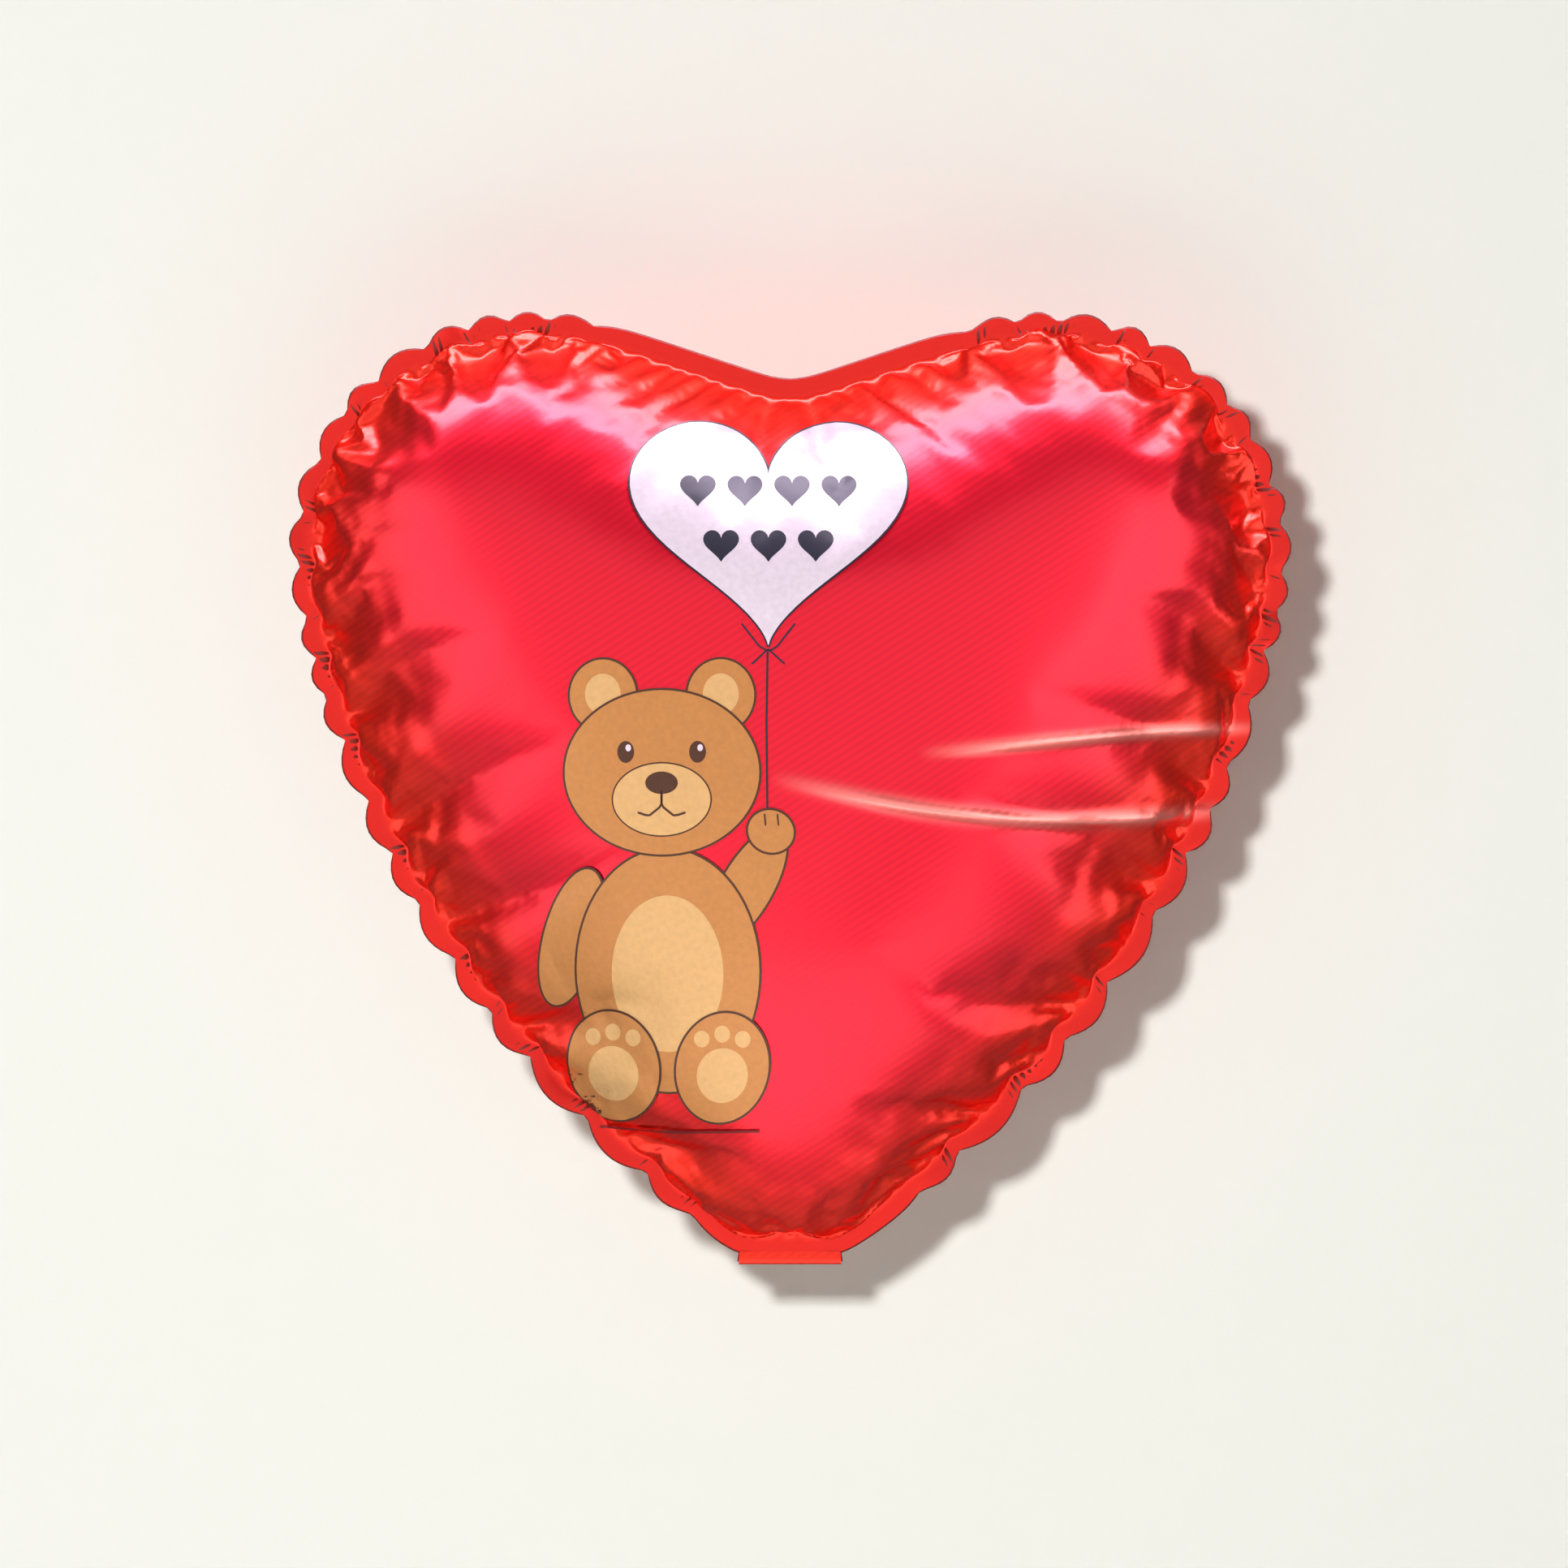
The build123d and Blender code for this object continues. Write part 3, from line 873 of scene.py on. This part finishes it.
paper = backdrop_paint()
WALL_Y, FLOOR_Z, REACH = 0.10, -0.6, 6.0
wall = mesh_piece(
    "wall",
    [(-REACH, WALL_Y, FLOOR_Z), (REACH, WALL_Y, FLOOR_Z), (REACH, WALL_Y, REACH), (-REACH, WALL_Y, REACH)],
    [(0, 1, 2, 3)],
)
floor = mesh_piece(
    "floor",
    [(-REACH, -REACH, FLOOR_Z), (REACH, -REACH, FLOOR_Z), (REACH, REACH, FLOOR_Z), (-REACH, REACH, FLOOR_Z)],
    [(0, 1, 2, 3)],
)
for piece in (wall, floor):
    wear(piece, paper)
# The wall is a picture of paper only: it neither shows in the gloss of the film nor keeps lamps from its back
wall.visible_glossy = wall.visible_shadow = False

soft_box("shadow_key", (-0.36, -2.5, 0.54), (0.15, 0.15), 47, "visible_glossy")
soft_box("top_gloss", (0.0, -0.06, 1.2), (1.8, 0.26), 34, "visible_diffuse", (1.0, 0.85, 1.0))
soft_box("front_gloss", (0.2, -2.4, 0.1), (5.0, 4.4), 70, "visible_diffuse")
soft_box("left_gloss", (-1.4, -0.7, 0.3), (1.1, 1.4), 11, "visible_diffuse")
soft_box("right_gloss", (1.4, -0.7, 0.25), (1.1, 1.4), 12, "visible_diffuse")
soft_box("back_gloss", (0.3, 2.6, 0.9), (4.0, 3.0), 45, "visible_diffuse")
soft_box("under_gloss", (0.0, -0.5, -0.55), (1.8, 0.8), 7, "visible_diffuse")

# The room is dim, so that the shadow is clear, but it looks pale wherever it is seen past the paper
world = bpy.data.worlds.new("studio")
scene.world = world
world.use_nodes = True
sky = world.node_tree.nodes["Background"]
sky.inputs["Color"].default_value = srgb("#F4F5F0")
seen = node(world.node_tree, "ShaderNodeLightPath").outputs["Is Camera Ray"]
level = node(world.node_tree, "ShaderNodeMath", {"operation": "MULTIPLY_ADD", 1: 0.78, 2: 0.14}, {0: seen})
world.node_tree.links.new(level.outputs[0], sky.inputs["Strength"])

# Camera straight in front, as far off as a product picture is taken
DISTANCE, VIEW_WIDTH = 3.0, 0.6268
camera = bpy.data.cameras.new("camera")
camera.sensor_width = 36.0
camera.lens = 36.0 * DISTANCE / VIEW_WIDTH
viewer = bpy.data.objects.new("camera", camera)
viewer.location = (-0.0024, -DISTANCE, 0.1914)
viewer.rotation_euler = (math.radians(90), 0, 0)
scene.collection.objects.link(viewer)
scene.camera = viewer
scene.view_settings.view_transform = "Standard"
